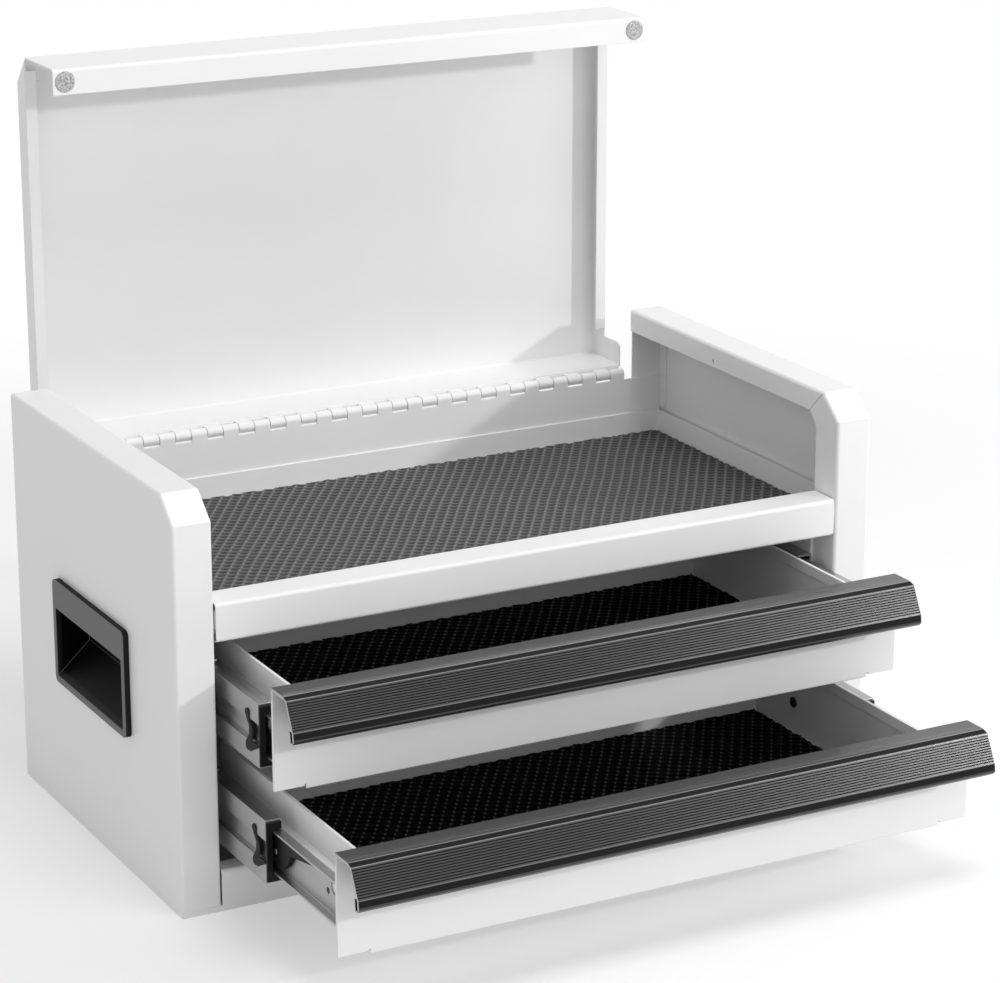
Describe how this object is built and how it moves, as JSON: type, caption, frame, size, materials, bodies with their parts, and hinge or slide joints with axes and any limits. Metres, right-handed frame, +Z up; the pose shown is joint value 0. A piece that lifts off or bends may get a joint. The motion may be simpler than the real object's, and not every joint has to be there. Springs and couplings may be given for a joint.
{
  "type": "mini tool chest",
  "caption": "White sheet steel benchtop tool chest with a piano-hinged lift-up lid over a lined tray, drawers on ball slides with full-width black pulls, and recessed side handles.",
  "frame": {"origin": "middle of the cabinet's base, on the floor", "axes": "+X to the right seen from the front, -Y the front, +Z up; the lid stands open and the drawers part way out"},
  "size_m": [0.488, 0.4864, 0.4664],
  "materials": {
    "white_paint": "white powder coat, soft satin",
    "zinc_steel": "zinc plated, satin",
    "black_anodised": "black anodised, brushed, with fine ribs",
    "black_plastic": "moulded black, low sheen",
    "black_mat": "non-slip foam mesh",
    "black_steel": "black oxide",
    "grey_pad": "mottled grey felt"
  },
  "bodies": {
    "cabinet": {"side_panel_left": "white_paint", "side_panel_right": "white_paint", "bottom_pan": "white_paint", "back_panel": "white_paint", "rear_corners": "white_paint", "front_rail": "white_paint", "top_tray": "white_paint", "tray_mat": "black_mat", "hinge_fixed_leaf": "white_paint", "hinge_pin": "zinc_steel", "slide_bracket_left": "white_paint", "slide_bracket_right": "white_paint", "slide_rivets": "zinc_steel", "cabinet_rails": "zinc_steel", "side_handle_left": "black_plastic", "side_handle_right": "black_plastic"},
    "lid": {"lid_panel": "white_paint", "hinge_lid_leaf": "white_paint", "lid_pads": "grey_pad"},
    "upper_drawer": {"upper_floor": "white_paint", "upper_sides": "white_paint", "upper_back": "white_paint", "upper_front_liner": "white_paint", "upper_front": "white_paint", "upper_pull": "black_anodised", "upper_mat": "black_mat", "upper_spacers": "white_paint", "upper_inner_rails": "zinc_steel", "upper_screws": "black_steel", "upper_pull_rivets": "zinc_steel"},
    "upper_slide": {"upper_middle_rails": "zinc_steel", "upper_ball_cages": "zinc_steel", "upper_bumpers": "black_plastic"},
    "upper_lever_left": {"upper_lever_left": "black_plastic"},
    "upper_lever_right": {"upper_lever_right": "black_plastic"},
    "lower_drawer": {"lower_floor": "white_paint", "lower_sides": "white_paint", "lower_back": "white_paint", "lower_front_liner": "white_paint", "lower_front": "white_paint", "lower_pull": "black_anodised", "lower_mat": "black_mat", "lower_spacers": "white_paint", "lower_inner_rails": "zinc_steel", "lower_screws": "black_steel", "lower_pull_rivets": "zinc_steel"},
    "lower_slide": {"lower_middle_rails": "zinc_steel", "lower_ball_cages": "zinc_steel", "lower_bumpers": "black_plastic"},
    "lower_lever_left": {"lower_lever_left": "black_plastic"},
    "lower_lever_right": {"lower_lever_right": "black_plastic"}
  },
  "joints": [
    {"name": "lid_hinge", "type": "hinge", "parent": "cabinet", "child": "lid", "pos_m": [0, 0.1299, 0.2145], "axis": [1, 0, 0], "range_deg": [0, 90]},
    {"name": "upper_drawer_slide", "type": "slide", "parent": "cabinet", "child": "upper_drawer", "axis": [0, -1, 0], "range_m": [-0.091, 0.109]},
    {"name": "upper_middle_rail_slide", "type": "slide", "parent": "cabinet", "child": "upper_slide", "axis": [0, -1, 0], "range_m": [-0.073, 0.0874]},
    {"name": "upper_lever_left_pivot", "type": "hinge", "parent": "upper_drawer", "child": "upper_lever_left", "pos_m": [-0.203, -0.105, 0.1275], "axis": [1, 0, 0], "range_deg": [-1.5, 7], "stiffness_Nm_per_rad": 0.02},
    {"name": "upper_lever_right_pivot", "type": "hinge", "parent": "upper_drawer", "child": "upper_lever_right", "pos_m": [0.203, -0.105, 0.1275], "axis": [1, 0, 0], "range_deg": [-1.5, 7], "stiffness_Nm_per_rad": 0.02},
    {"name": "lower_drawer_slide", "type": "slide", "parent": "cabinet", "child": "lower_drawer", "axis": [0, -1, 0], "range_m": [-0.172, 0.028]},
    {"name": "lower_middle_rail_slide", "type": "slide", "parent": "cabinet", "child": "lower_slide", "axis": [0, -1, 0], "range_m": [-0.07932, 0.01308]},
    {"name": "lower_lever_left_pivot", "type": "hinge", "parent": "lower_drawer", "child": "lower_lever_left", "pos_m": [-0.203, -0.186, 0.058], "axis": [1, 0, 0], "range_deg": [-1.5, 7], "stiffness_Nm_per_rad": 0.02},
    {"name": "lower_lever_right_pivot", "type": "hinge", "parent": "lower_drawer", "child": "lower_lever_right", "pos_m": [0.203, -0.186, 0.058], "axis": [1, 0, 0], "range_deg": [-1.5, 7], "stiffness_Nm_per_rad": 0.02}
  ],
  "couplings": [
    {"joint": "upper_middle_rail_slide", "follows": "upper_drawer_slide", "ratio": 0.8},
    {"joint": "lower_middle_rail_slide", "follows": "lower_drawer_slide", "ratio": 0.46}
  ]
}
